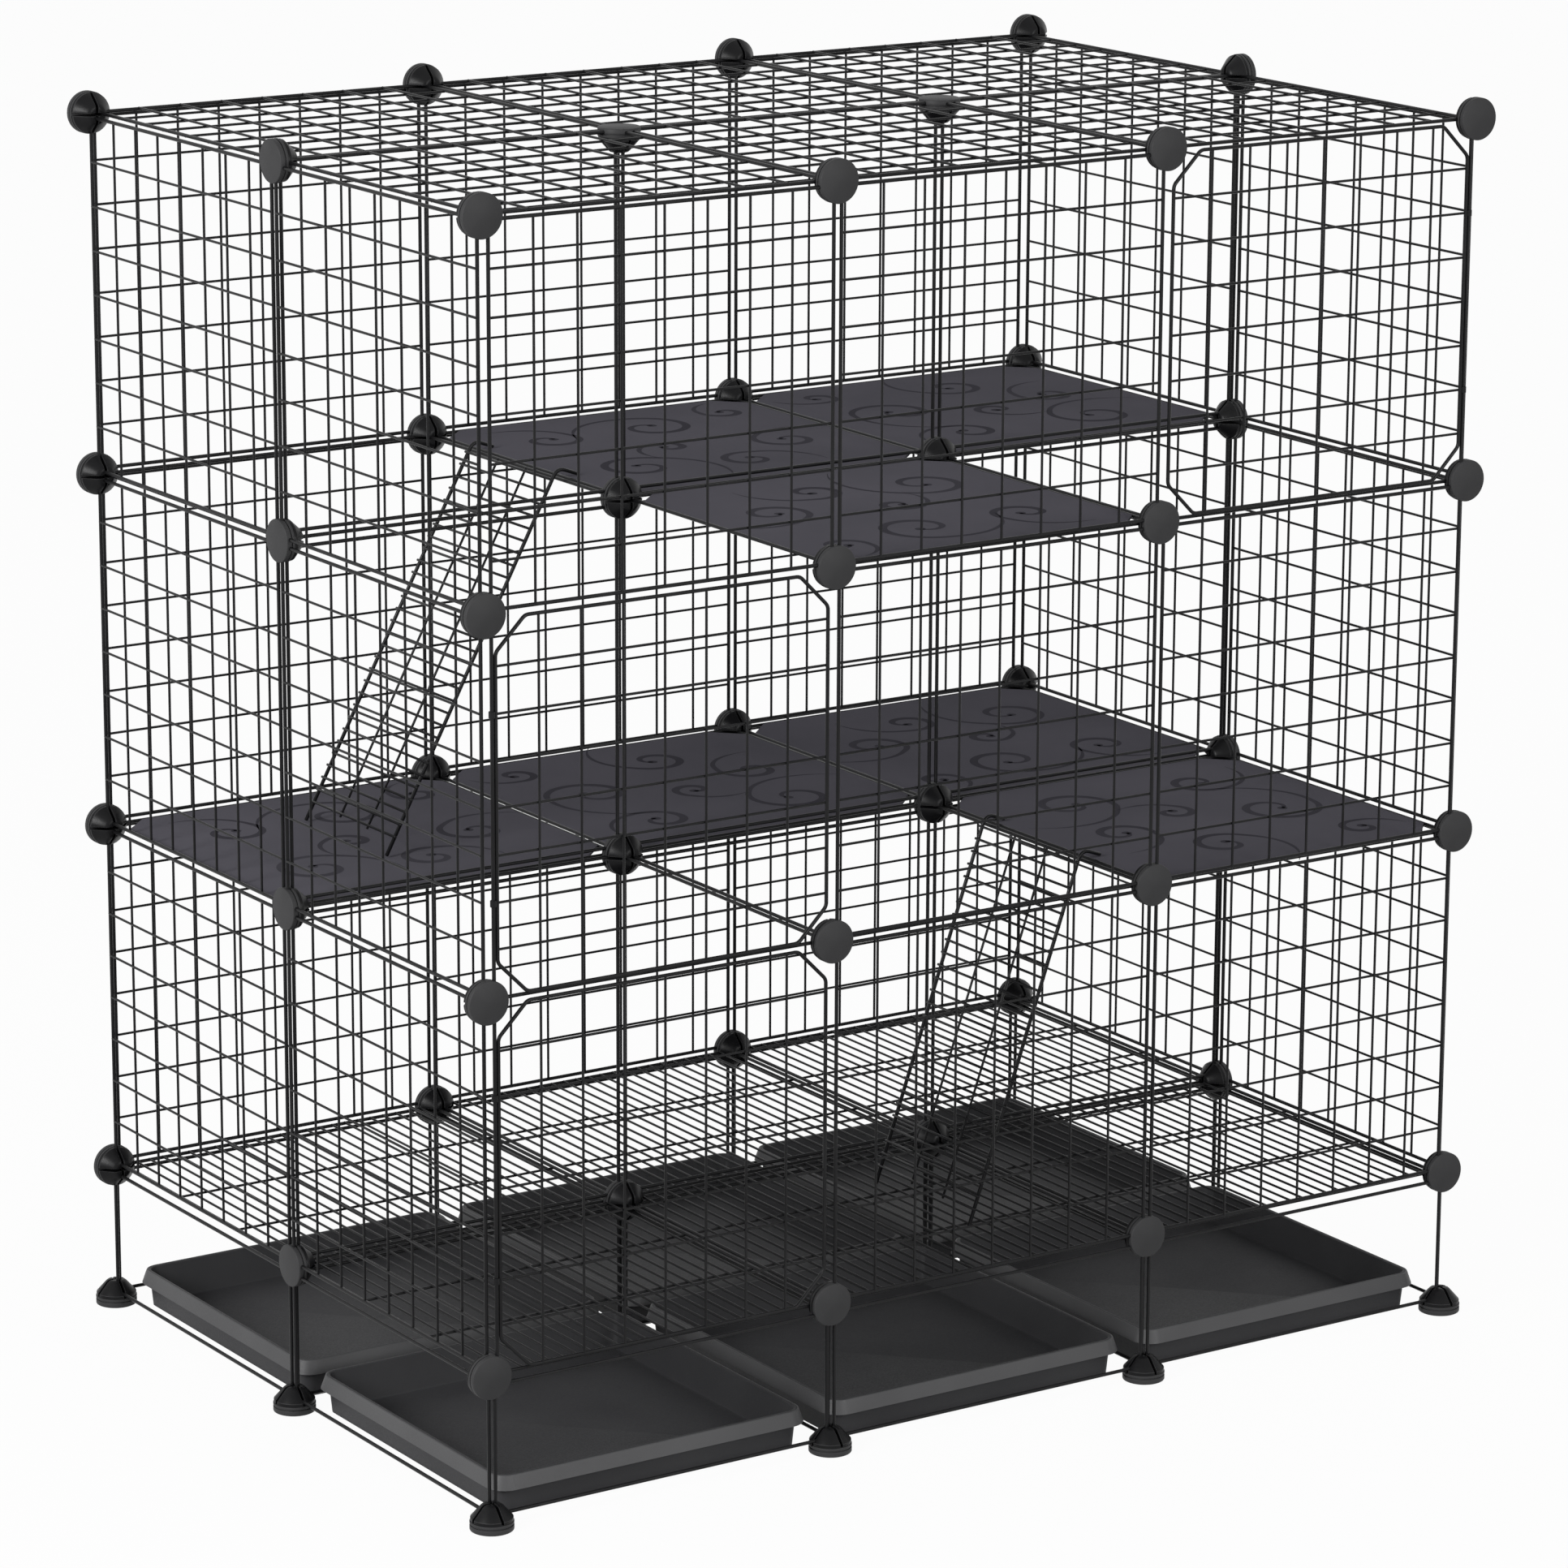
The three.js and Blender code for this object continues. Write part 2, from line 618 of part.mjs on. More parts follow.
// ---------------------------------------------------------------- the assembly
for (let j = 0; j <= ROWS; j++) {
  for (let i = 0; i <= LAST_POST; i++) {
    addPart(`leg_${POST_ROWS[j]}_${i + 1}`, clipBlack, leg(i, j));
  }
}

for (let level = 1; level < TIERS; level++) {
  addPart(`centre_frame_${LEVELS[level]}`, wireBlack, centreRail(level));
}

for (let row = 0; row < ROWS; row++) {
  for (let column = 0; column < COLUMNS; column++) {
    const name = `${row === 0 ? "front" : "back"}_${column + 1}`;
    const floor = panel([], [column, row, 0], ACROSS, DEEP, FLOOR_GAPS, FLOOR_RIB_GAPS);
    addPart(`floor_${name}`, wireBlack, floor);
    addPart(`tray_${name}`, trayBlack, tray(column, row));
  }
}

// Each fixed front panel holds the connector at its upper left, and the last but one
// column's also holds its upper right where a door hangs in the next column.
for (let tier = 0; tier < TIERS; tier++) {
  for (let column = 0; column < COLUMNS; column++) {
    if (isDoor(tier, column)) continue;
    const held = column > 0 ? [[column, 0, tier + 1]] : [];
    if (isDoor(tier, column + 1)) held.push([column + 1, 0, tier + 1]);
    const wires = LEVEL_FRAMES.filter(
      (frame) =>
        frame.row === 0 &&
        frame.level === tier + 1 &&
        (frame.column === column || (frame.column === column - 1 && isDoor(tier, frame.column))),
    );
    addPart(`front_${TIER_NAMES[tier]}_${column + 1}`, wireBlack, [
      ...connectors(held),
      ...panel(held, [column, 0, tier], ACROSS, UP),
      ...wires.map((frame) => frameFarWire(held, frame)),
    ]);
  }
}

// The side panels of the front row hold the front corner connectors and the hinge rods.
for (const [side, i] of [["left", 0], ["right", LAST_POST]]) {
  for (let tier = 0; tier < TIERS; tier++) {
    const held = [[i, 0, tier + 1]];
    const rods = DOORS.filter((door) => door.tier === tier && door.hingePost === i);
    addPart(`${side}_front_${TIER_NAMES[tier]}`, wireBlack, [
      ...connectors(held),
      ...panel(held, [i, 0, tier], DEEP, UP),
      ...rods.map(hingeRod),
    ]);
  }
}

for (let tier = 0; tier < TIERS; tier++) {
  addPart(`right_back_${TIER_NAMES[tier]}`, wireBlack, panel([], [LAST_POST, 1, tier], DEEP, UP));
}

// A column of panels one over the other, joined by the connectors of one back post.
function panelColumn(backPost, post, across) {
  const held = Array.from({ length: TIERS }, (_, tier) => [backPost, ROWS, tier + 1]);
  const pieces = connectors(held);
  for (let tier = 0; tier < TIERS; tier++) {
    pieces.push(...panel(held, [...post, tier], across, UP));
  }
  return { held, pieces };
}

addPart("left_back", wireBlack, panelColumn(0, [0, 1], DEEP).pieces);

for (let column = 0; column < COLUMNS; column++) {
  const { held, pieces } = panelColumn(column + 1, [column, ROWS], ACROSS);
  const wires = LEVEL_FRAMES.filter((frame) => frame.row === 1 && frame.column === column);
  addPart(`back_${column + 1}`, wireBlack, [
    ...pieces,
    ...wires.map((frame) => frameFarWire(held, frame)),
  ]);
}

// A roof column is two panels and, pressed into their seam, the top wire of the open frame.
for (let column = 0; column < COLUMNS; column++) {
  const post = [column, 1, TIERS];
  addPart(`roof_${column + 1}`, wireBlack, [
    ...panel([], [column, 0, TIERS], ACROSS, DEEP),
    ...panel([], post, ACROSS, DEEP),
    edgeWire([], post, next(post, ACROSS), [], SEAM_WIRE),
  ]);
}

for (const door of DOORS) {
  addPart(`door_${TIER_NAMES[door.tier]}`, wireBlack, doorLeaf(door));
}

for (const spec of SHELVES) {
  const name = `shelf_${LEVELS[spec.level]}_${spec.row === 0 ? "front" : "back"}_${spec.column + 1}`;
  addPart(name, sheetGrey, shelf(spec));
}

for (const spec of RAMPS) {
  addPart(spec.name, wireBlack, ramp(spec));
}

export default cage;
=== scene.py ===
"""The looks of a modular ferret cage: round wires, clip mouldings, printed shelves, ladder
ramps and trays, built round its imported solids. Metres, +Z up, the front towards -Y."""
import json
import math

import bmesh
import bpy
from mathutils import Matrix, Quaternion, Vector


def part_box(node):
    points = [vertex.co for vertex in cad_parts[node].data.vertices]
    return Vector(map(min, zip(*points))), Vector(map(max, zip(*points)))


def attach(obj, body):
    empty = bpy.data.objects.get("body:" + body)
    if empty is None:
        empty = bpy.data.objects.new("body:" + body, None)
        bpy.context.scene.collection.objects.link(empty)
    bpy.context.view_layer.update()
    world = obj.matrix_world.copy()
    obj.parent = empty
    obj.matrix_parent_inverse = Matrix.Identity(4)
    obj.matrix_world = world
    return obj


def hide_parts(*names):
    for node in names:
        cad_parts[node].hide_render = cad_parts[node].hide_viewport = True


MM = 0.001
DEGREE = math.pi / 180

# ---------------------------------------------------------------- sizes
COLUMNS, ROWS, TIERS = 3, 2, 3
EDGE = 4 * MM  # from the line between two panels to the edge wire of each
FRAME_WIRE = 3.5 * MM
GRID_WIRE = 2.4 * MM
GRID_LAYER = 0.95 * MM  # each layer of a grid, from the plane of its frame
GRID_GAPS = 8
FLOOR_GAPS, FLOOR_RIB_GAPS = 24, 3
WIRE_SIDES = 10
BEND_STEPS = 5
DOME_HIGH = 0.2  # of a domed wire's width, past its last ring
DOME_SHRINK = 0.35  # how much smaller the dome's ring is
GROUND_WIRE_HIGH = 12.5 * MM
OPEN_FRAME_INSET = 7.6 * MM
SEAT = 8 * MM  # a wire's end, from the middle of the connector that holds it
CAP_SEAT = 1 * MM  # the same, where the wire comes out through the cap

CLIP_RADIUS = 20 * MM
CLIP_HIGH = 24 * MM
CLIP_SOFT = 0.3 * MM  # how far its edges are rounded
CLIP_GROOVE = 1.3 * MM  # the groove's depth
CAP_BACK = 4.9 * MM  # heights above the cap's face
RING_FRONT = 6.1 * MM
RING_BACK = 8.6 * MM
LOBE_SHOULDER = 11.7 * MM
LOBE_TIP = [(10.2 * MM, 22 * MM), (8.6 * MM, 23.3 * MM), (6.4 * MM, CLIP_HIGH)]  # radius and height
CAP_OUT = 3.5 * MM  # a connector's cap face, from the plane of the wires
CLIP_SLOT = 1.5 * MM  # half of the slot between two lobes
CLIP_TURNS = 48
LOBE_STEPS = 8
LOBE_BEVEL = 0.5 * MM

LEAF_INSET = 7.8 * MM
LEAF_CHAMFER = 30 * MM
LEAF_BEND = 9 * MM
CURL_WALL = 0.9 * MM
CURL_HIGH = 6 * MM
CURL_SPACING = 168 * MM
CURL_SOFT = 0.3 * MM
CURL_TURNS = 20
CLEAR = 0.3 * MM

SHEET_THICK = 3 * MM
SHEET_CHAMFER = 28 * MM
SHEET_SOFT = 0.5 * MM
PRINT_HIGH = 0.08 * MM
SHEET_BITE = 0.5 * MM  # how far a sheet runs into its frame's wires

RAIL_WIRE = 3.7 * MM
RUNG_WIRE = 2.6 * MM
RAMP_WIDE = 156 * MM
RUNG_PITCH = 12.7 * MM
RAMP_LANES = 3
RUNG_NUB = 3.2 * MM  # how far a rung's end stands out past its rail
HOOK_RISE = 12 * MM
HOOK_OUT = 7 * MM
HOOK_BEND = 9 * MM
HOOK_DROP = 0.6 * MM  # a rail's middle, below the top of its bend
HOOK_TIP = 1 * MM  # its tip, short of the solid's
LANE_PAST = 0.25  # of a rung's pitch, past the first and last rung

TRAY_WALL = 2.3 * MM
TRAY_LIP = 7 * MM
TRAY_SKIRT = 13 * MM
TRAY_DRAFT = 3.5 * MM
TRAY_LEAN = 4 * MM  # how far the skirt spreads on its way down
TRAY_SOFT = 1.6 * MM
TRAY_HEEL = [(2 * MM, 0), (0, 1.5 * MM)]  # in from the wall's foot, and height
TRAY_FILLET = 3 * MM  # between its bottom and its walls, inside
ROUND_SHARE = 0.3  # of a rounded edge's radius, from the corner to the middle of the round
TRAY_CORNER = 20 * MM
TRAY_CORNER_STEPS = 6
TRAY_PAINTED_LIGHT_SPANS = (4, 8)  # the spans between its sections that make its skirt, painted lighter for the light it catches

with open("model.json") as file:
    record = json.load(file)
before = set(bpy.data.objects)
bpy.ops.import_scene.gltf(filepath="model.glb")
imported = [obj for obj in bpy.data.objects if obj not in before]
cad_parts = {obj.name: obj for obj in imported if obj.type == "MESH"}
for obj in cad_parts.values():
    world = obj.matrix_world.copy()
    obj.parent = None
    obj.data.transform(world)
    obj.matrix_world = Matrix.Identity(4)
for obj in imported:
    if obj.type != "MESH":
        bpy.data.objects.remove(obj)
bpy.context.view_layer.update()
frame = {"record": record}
BODY_OF = {node: body for body, nodes in frame["record"]["behaviour"]["bodies"].items() for node in nodes}


def middle(node):
    low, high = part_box(node)
    return (low + high) / 2


# The lattice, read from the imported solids.
PITCH = middle("tray_front_2").x - middle("tray_front_1").x
FLOOR_Z = middle("floor_front_1").z
TIER = middle("shelf_lower_back_1").z - FLOOR_Z
WALL_OUT = -middle("door_bottom").y - PITCH

ACROSS, DEEP, UP = 0, 1, 2
AXES = [Vector((1, 0, 0)), Vector((0, 1, 0)), Vector((0, 0, 1))]
X, Y, Z = AXES
LAST = (COLUMNS, ROWS, TIERS)
LEVELS = ["floor", "lower", "upper", "roof"]
TIER_NAMES = ["bottom", "middle", "top"]
POST_ROWS = ["front", "centre", "back"]


# ---------------------------------------------------------------- the lattice of connectors
def beyond(post, axis):
    return tuple(value + (n == axis) for n, value in enumerate(post))


def seam(value, axis):
    return FLOOR_Z + value * TIER if axis == UP else (value - LAST[axis] / 2) * PITCH


def outward(value, axis):
    if axis == UP or 0 < value < LAST[axis]:
        return 0
    return WALL_OUT if value else -WALL_OUT


def place(post):
    return Vector([seam(value, axis) + outward(value, axis) for axis, value in enumerate(post)])


def edge_at(post, axis, side):
    """From a post to the edge wire of the panel on one side of it."""
    return side * EDGE - outward(post[axis], axis)


def bay_middle(column, row, height):
    return Vector((seam(column + 0.5, ACROSS), seam(row + 0.5, DEEP), height))


def facing(post):
    i, j, level = post
    if j == 0:
        return -Y
    if j == ROWS:
        return Y
    if i in (0, COLUMNS):
        return -X if i == 0 else X
    return Z if level == TIERS else Y


def seat(post, direction):
    return CAP_SEAT if facing(post).dot(direction) > 0.5 else SEAT


# ---------------------------------------------------------------- meshes
class Shape:
    """Collects the points and faces of one mesh."""

    def __init__(self):
        self.points, self.faces, self.slots = [], [], []

    def add(self, points, faces, slot=0):
        start = len(self.points)
        self.points += [tuple(point) for point in points]
        self.faces += [[start + n for n in face] for face in faces]
        self.slots += [slot] * len(faces)

    def loft(self, rings, slot=0, closed=False):
        """A skin over rings of equally many points, with flat ends unless it is closed."""
        count, last = len(rings[0]), len(rings) - 1
        faces = []
        for r in range(len(rings) if closed else last):
            low, high = r * count, ((r + 1) % len(rings)) * count
            for n in range(count):
                m = (n + 1) % count
                faces.append([low + n, low + m, high + m, high + n])
        if not closed:
            faces += [list(range(count))[::-1], [last * count + n for n in range(count)]]
        self.add([point for ring in rings for point in ring], faces, slot)

    def tube(self, path, width, closed=False, domed=False):
        """A round wire along a path."""
        path = [Vector(point) for point in path]
        count = len(path)
        spans = [(path[(n + 1) % count] - path[n]).normalized() for n in range(count)]
        rings, side, heading = [], spans[0].orthogonal().normalized(), spans[0]
        for n, point in enumerate(path):
            before = spans[n - 1] if n or closed else spans[0]
            after = spans[n] if n < count - 1 or closed else before
            tangent = (before + after).normalized()
            side = heading.rotation_difference(tangent) @ side
            heading = tangent
            rings.append(circle(point, tangent, side, width / 2))
        if domed and not closed:
            tip = width * DOME_HIGH
            for end, out in ((0, -spans[0]), (-1, spans[-2])):
                inner = [point.lerp(path[end], DOME_SHRINK) + out * tip for point in rings[end]]
                rings.insert(0, inner) if end == 0 else rings.append(inner)
        self.loft(rings, closed=closed)

    def turn(self, profile, matrix=None, slot=0, steps=CLIP_TURNS):
        """A profile of (radius, height) points turned about its own Z axis."""
        rings = []
        for step in range(steps):
            angle = step / steps * math.tau
            rings.append([Vector((r * math.cos(angle), r * math.sin(angle), h)) for r, h in profile])
        if matrix:
            rings = [[matrix @ point for point in ring] for ring in rings]
        self.loft(rings, slot, closed=True)

    def mesh(self, name, materials, bevel=0.0, sharp=40 * DEGREE):
        mesh = bpy.data.meshes.new(name)
        mesh.from_pydata(self.points, [], self.faces)
        for material in materials:
            mesh.materials.append(material)
        mesh.polygons.foreach_set("material_index", self.slots)
        work = bmesh.new()
        work.from_mesh(mesh)
        bmesh.ops.remove_doubles(work, verts=work.verts, dist=1e-6)
        bmesh.ops.dissolve_degenerate(work, edges=work.edges, dist=1e-7)
        bmesh.ops.recalc_face_normals(work, faces=work.faces)
        if bevel:
            edges = [edge for edge in work.edges if edge.calc_face_angle(0) > sharp]
            bmesh.ops.bevel(work, geom=edges, offset=bevel, segments=2, profile=0.6,
                            affect="EDGES", clamp_overlap=True)
        work.to_mesh(mesh)
        work.free()
        mesh.polygons.foreach_set("use_smooth", [True] * len(mesh.polygons))
        mesh.set_sharp_from_angle(angle=sharp)
        return mesh

    def piece(self, name, materials, **options):
        return add_object(name, self.mesh(name, materials, **options))


def add_object(name, data):
    piece = bpy.data.objects.new(name, data)
    bpy.context.scene.collection.objects.link(piece)
    return piece


def circle(centre, normal, side, radius, sides=WIRE_SIDES):
    other = normal.cross(side)
    angles = [step / sides * math.tau for step in range(sides)]
    return [centre + (side * math.cos(a) + other * math.sin(a)) * radius for a in angles]


def rounded(points, radius, closed=False):
    """A path with each bend rounded to a radius."""
    points = [Vector(point) for point in points]
    count, path = len(points), []
    for n, point in enumerate(points):
        if not closed and n in (0, count - 1):
            path.append(point)
            continue
        back = (points[n - 1] - point).normalized()
        ahead = (points[(n + 1) % count] - point).normalized()
        half = back.angle(ahead) / 2
        centre = point + (back + ahead).normalized() * (radius / math.sin(half))
        start = point + back * (radius / math.tan(half)) - centre
        end = point + ahead * (radius / math.tan(half)) - centre
        swing = start.rotation_difference(end)
        path += [centre + Quaternion().slerp(swing, step / BEND_STEPS) @ start
                 for step in range(BEND_STEPS + 1)]
    return path


def settle(piece, node):
    """Hands a piece to the frame: it hides the node it stands for and moves with that node's body."""
    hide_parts(node)
    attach(piece, BODY_OF[node])
    return piece


# ---------------------------------------------------------------- materials
def nodes_of(name):
    material = bpy.data.materials.new(name)
    material.use_nodes = True
    tree = material.node_tree
    return material, tree, tree.nodes["Principled BSDF"]


def noise(tree, scale, detail=3.0):
    where = tree.nodes.new("ShaderNodeTexCoord")
    texture = tree.nodes.new("ShaderNodeTexNoise")
    texture.inputs["Scale"].default_value = scale
    texture.inputs["Detail"].default_value = detail
    tree.links.new(where.outputs["Object"], texture.inputs["Vector"])
    return texture.outputs["Fac"]


def between(tree, factor, low, high, start=0.3, end=0.7):
    span = tree.nodes.new("ShaderNodeMapRange")
    for socket, value in zip(("From Min", "From Max", "To Min", "To Max"), (start, end, low, high)):
        span.inputs[socket].default_value = value
    tree.links.new(factor, span.inputs["Value"])
    return span.outputs["Result"]


def tint(tree, factor, dark, light, start=0.35, end=0.65):
    ramp = tree.nodes.new("ShaderNodeValToRGB")
    ramp.color_ramp.elements[0].position = start
    ramp.color_ramp.elements[1].position = end
    ramp.color_ramp.elements[0].color = (*dark, 1)
    ramp.color_ramp.elements[1].color = (*light, 1)
    tree.links.new(factor, ramp.inputs["Fac"])
    return ramp.outputs["Color"]


def finish(name, dark, light, rough, patch, grain, relief, specular):
    """A moulded or coated surface: its colour drifts in patches, and a fine grain stands
    in relief and breaks up its gloss."""
    material, tree, shader = nodes_of(name)
    shader.inputs["Specular IOR Level"].default_value = specular
    fine = noise(tree, grain, 4.0)
    tree.links.new(tint(tree, noise(tree, patch), dark, light), shader.inputs["Base Color"])
    tree.links.new(between(tree, fine, *rough), shader.inputs["Roughness"])
    bump = tree.nodes.new("ShaderNodeBump")
    bump.inputs["Strength"].default_value = 1.0
    bump.inputs["Distance"].default_value = relief
    tree.links.new(fine, bump.inputs["Height"])
    tree.links.new(bump.outputs["Normal"], shader.inputs["Normal"])
    return material


coated_wire = finish("coated_wire", (0.004, 0.004, 0.0045), (0.008, 0.008, 0.0085), (0.27, 0.39),
                     patch=14, grain=900, relief=0.05 * MM, specular=0.16)
# The cap's own matte finish on the same black plastic as the lobes; its lighter base colour is a painted
# sheen.
cap_plastic_painted_sheen = finish("cap_plastic_painted_sheen", (0.024, 0.024, 0.025), (0.030, 0.030, 0.031), (0.5, 0.64),
                     patch=30, grain=1200, relief=0.03 * MM, specular=0.2)
lobe_plastic = finish("lobe_plastic", (0.004, 0.004, 0.0045), (0.008, 0.008, 0.0085), (0.28, 0.42),
                      patch=30, grain=1200, relief=0.03 * MM, specular=0.12)
shelf_sheet = finish("shelf_sheet", (0.092, 0.089, 0.104), (0.104, 0.100, 0.117), (0.62, 0.76),
                     patch=6, grain=700, relief=0.04 * MM, specular=0.0)
sheet_print = finish("sheet_print", (0.050, 0.048, 0.057), (0.058, 0.056, 0.066), (0.5, 0.66),
                     patch=9, grain=700, relief=0.03 * MM, specular=0.0)
tray_plastic = finish("tray_plastic", (0.030, 0.030, 0.032), (0.037, 0.037, 0.039), (0.45, 0.6),
                      patch=8, grain=650, relief=0.06 * MM, specular=0.12)
# A lighter copy of the tray plastic for its skirt: painted light, for the light the skirt catches while the
# wall under it lies in shade.
tray_skirt_painted_light = finish("tray_skirt_painted_light", (0.058, 0.058, 0.060), (0.069, 0.069, 0.071), (0.4, 0.55),
                   patch=8, grain=650, relief=0.06 * MM, specular=0.2)


# ---------------------------------------------------------------- wires
node_wires = {}


def wires(node):
    return node_wires.setdefault(node, Shape())


def edge_wire(shape, start, end, *offsets):
    """A frame wire between two neighbouring connectors, beside the line of their middles."""
    shift = sum(offsets, Vector())
    a, b = place(start), place(end)
    along = (b - a).normalized()
    a, b = a + along * seat(start, along) + shift, b - along * seat(end, -along) + shift
    shape.tube([a, b], FRAME_WIRE)


def grid(shape, corner, right, rise, wide, tall, gaps_across, gaps_up):
    out = right.cross(rise)
    for n in range(1, gaps_across):
        foot = corner + right * (wide * n / gaps_across) + out * GRID_LAYER
        shape.tube([foot, foot + rise * tall], GRID_WIRE)
    for n in range(1, gaps_up):
        foot = corner + rise * (tall * n / gaps_up) - out * GRID_LAYER
        shape.tube([foot, foot + right * wide], GRID_WIRE)


def panel_frame(shape, post, across, up):
    right, rise = AXES[across], AXES[up]
    far, high = beyond(post, across), beyond(post, up)
    edge_wire(shape, post, far, rise * edge_at(post, up, 1))
    edge_wire(shape, high, beyond(far, up), rise * edge_at(high, up, -1))
    edge_wire(shape, post, high, right * edge_at(post, across, 1))
    edge_wire(shape, far, beyond(far, up), right * edge_at(far, across, -1))


def panel(shape, post, across, up, gaps_across=GRID_GAPS, gaps_up=GRID_GAPS):
    panel_frame(shape, post, across, up)
    right, rise = AXES[across], AXES[up]
    corner = place(post) + right * edge_at(post, across, 1) + rise * edge_at(post, up, 1)
    tall = (TIER if up == UP else PITCH) - 2 * EDGE
    grid(shape, corner, right, rise, PITCH - 2 * EDGE, tall, gaps_across, gaps_up)


# ---------------------------------------------------------------- connectors and feet
def clip_mesh():
    """The moulding: a cap, a groove and a ring, and four lobes parted by a cross of slots."""
    shape = Shape()
    r, soft = CLIP_RADIUS, CLIP_SOFT
    groove = r - CLIP_GROOVE
    # The cap, groove and ring take the first slot, the cap plastic with its painted sheen; the lobes take
    # the second.
    shape.turn([
        (0, 0), (r - 3 * soft, 0), (r - soft, soft), (r, 3 * soft),
        (r, CAP_BACK - soft), (r - soft, CAP_BACK), (groove, CAP_BACK),
        (groove, RING_FRONT), (r - soft, RING_FRONT), (r, RING_FRONT + soft),
        (r, RING_BACK - soft), (r - soft, RING_BACK), (0, RING_BACK),
    ])
    sections = [(r - 2 * soft, RING_BACK - 2 * soft), (r - 2 * soft, LOBE_SHOULDER), *LOBE_TIP]
    for quarter in range(4):
        spin = Matrix.Rotation(quarter * math.tau / 4, 4, "Z")
        rings = [[spin @ point for point in lobe_ring(radius, high)] for radius, high in sections]
        shape.loft(rings, slot=1)
    return shape.mesh("clip", [cap_plastic_painted_sheen, lobe_plastic], bevel=LOBE_BEVEL, sharp=30 * DEGREE)


def lobe_ring(radius, high):
    slope = math.asin(CLIP_SLOT / radius)
    ring = [Vector((CLIP_SLOT, CLIP_SLOT, high))]
    for step in range(LOBE_STEPS + 1):
        angle = slope + (math.pi / 2 - 2 * slope) * step / LOBE_STEPS
        ring.append(Vector((radius * math.cos(angle), radius * math.sin(angle), high)))
    return ring


def holder(post):
    """The CAD node that a connector is part of."""
    i, j, level = post
    if level == 0:
        return f"leg_{POST_ROWS[j]}_{i + 1}"
    if j == 1:
        return f"centre_frame_{LEVELS[min(level, TIERS - 1)]}"
    if j == ROWS:
        return f"back_{i}" if i else "left_back"
    tier = TIER_NAMES[level - 1]
    if i in (0, COLUMNS):
        return f"{'right' if i else 'left'}_front_{tier}"
    own = f"front_{tier}_{i + 1}"
    return own if own in BODY_OF else f"front_{tier}_{i}"


def add_clip(name, mesh, cap_middle, towards_dome, node):
    clip = add_object(name, mesh)
    turn = Z.rotation_difference(towards_dome)
    clip.matrix_world = Matrix.Translation(cap_middle) @ turn.to_matrix().to_4x4()
    settle(clip, node)


def add_clips():
    mesh = clip_mesh()
    for i in range(COLUMNS + 1):
        for j in range(ROWS + 1):
            add_clip(f"foot_{POST_ROWS[j]}_{i + 1}", mesh, place((i, j, 0)) - Z * FLOOR_Z,
                     Z, holder((i, j, 0)))
            for level in range(TIERS + 1):
                post = (i, j, level)
                out = facing(post)
                name = f"connector_{POST_ROWS[j]}_{i + 1}_{LEVELS[level]}"
                add_clip(name, mesh, place(post) + out * CAP_OUT, -out, holder(post))


# ---------------------------------------------------------------- legs and open frames
def add_leg(i, j):
    post = (i, j, 0)
    shape = wires(holder(post))
    ground = Z * (GROUND_WIRE_HIGH - FLOOR_Z)
    for axis in (ACROSS, DEEP):
        sides = [side for side in (-1, 1) if 0 <= post[axis] + side <= LAST[axis]]
        for side in sides:
            top = place(post) + AXES[axis] * (side * EDGE)
            shape.tube([Vector((top.x, top.y, CLIP_HIGH / 2)), top - Z * SEAT], FRAME_WIRE)
        if post[axis] < LAST[axis]:
            far = beyond(post, axis)
            edge_wire(shape, post, far, ground)
            edge_wire(shape, post, far, Z * -OPEN_FRAME_INSET)
    if j == 1 and i < COLUMNS:
        edge_wire(shape, post, beyond(post, ACROSS), Z * OPEN_FRAME_INSET)


# Open frames that lie level: column, row and level, and the node that carries the far wire.
LEVEL_FRAMES = [
    (0, 0, 1, "front_bottom_2"),
    (1, 0, 1, "front_bottom_2"),
    (2, 0, 2, "front_middle_3"),
    (0, 1, 2, "back_1"),
]


def add_level_frame(column, row, level, far_node):
    rail = wires(f"centre_frame_{LEVELS[level]}")
    towards = 1 if row else -1
    left, right = (column, 1, level), (column + 1, 1, level)
    outer_left, outer_right = (column, 1 + towards, level), (column + 1, 1 + towards, level)
    edge_wire(rail, left, right, Y * edge_at(left, DEEP, towards))
    edge_wire(rail, left, outer_left, X * edge_at(left, ACROSS, 1))
    edge_wire(rail, right, outer_right, X * edge_at(right, ACROSS, -1))
    edge_wire(wires(far_node), outer_left, outer_right, Y * edge_at(outer_left, DEEP, -towards))


def add_centre_frame(level):
    shape = wires(f"centre_frame_{LEVELS[level]}")
    spans = [(level - 1, level)] + ([(level, level + 1)] if level == TIERS - 1 else [])
    for i in range(COLUMNS + 1):
        for low, high in spans:
            for side in (-1, 1):
                if 0 <= i + side <= COLUMNS:
                    edge_wire(shape, (i, 1, low), (i, 1, high), X * edge_at((i, 1, low), ACROSS, side))
    for i in range(COLUMNS):
        for inset in (-OPEN_FRAME_INSET, OPEN_FRAME_INSET):
            edge_wire(shape, (i, 1, level), (i + 1, 1, level), Z * inset)


